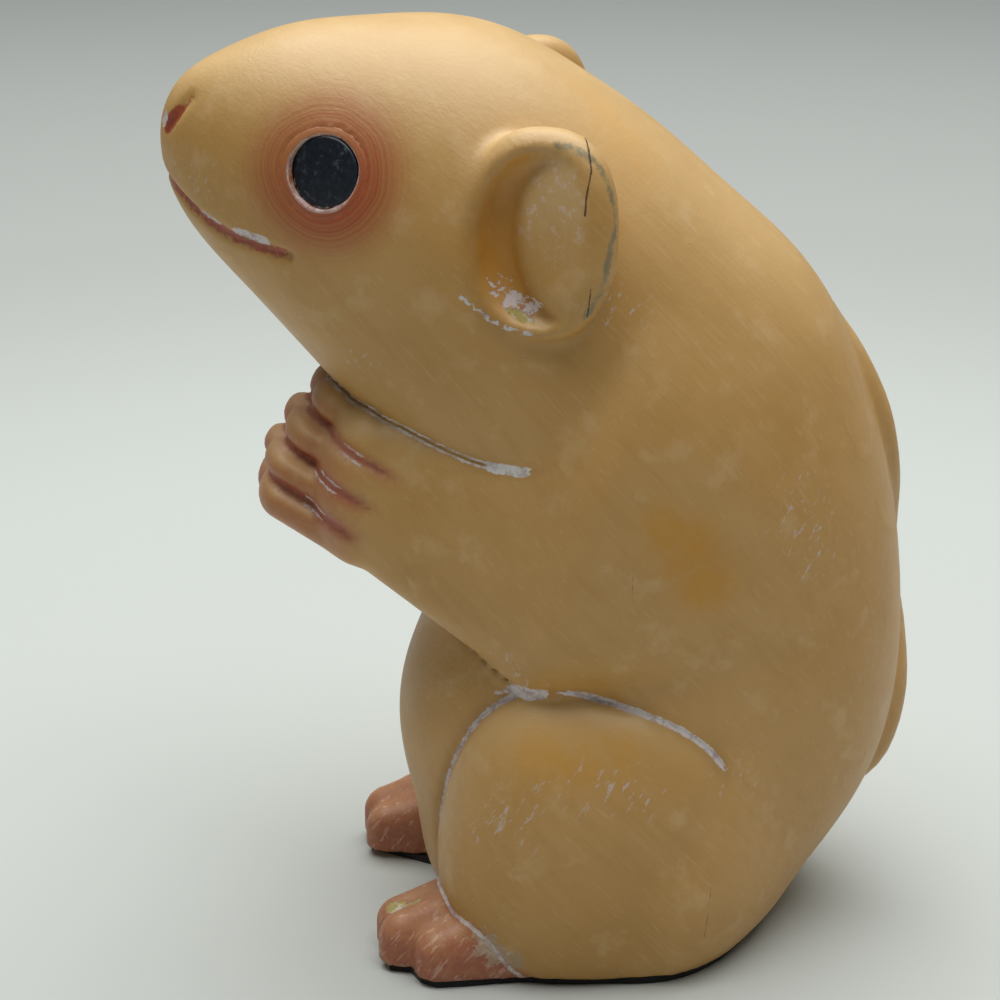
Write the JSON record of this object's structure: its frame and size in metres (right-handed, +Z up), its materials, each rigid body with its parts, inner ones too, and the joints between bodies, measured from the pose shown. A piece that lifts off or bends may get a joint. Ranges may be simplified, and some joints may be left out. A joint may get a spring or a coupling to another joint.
{
  "type": "wooden mouse figurine",
  "caption": "Carved and painted wooden mouse sitting up on its haunches with its forepaws together under its chin, on a thin flat pad.",
  "frame": {"origin": "middle of the bounding box's footprint, on the surface that the pad rests on", "axes": "+Z up, -Y the way the mouse faces, +X its own left side"},
  "size_m": [0.0948, 0.161, 0.1999],
  "materials": {
    "painted_wood": "satin ochre-cream paint rubbed thin over a white ground, with pink paws, feet and eye surrounds, chipped and worn along its creases",
    "black_pad": "matt black felt-like sheet",
    "eye_paint": "near-black navy disc with a worn satin surface"
  },
  "bodies": {
    "root": {"mouse_body": "painted_wood", "base_pad": "black_pad", "eye_left": "eye_paint", "eye_right": "eye_paint"}
  },
  "joints": []
}
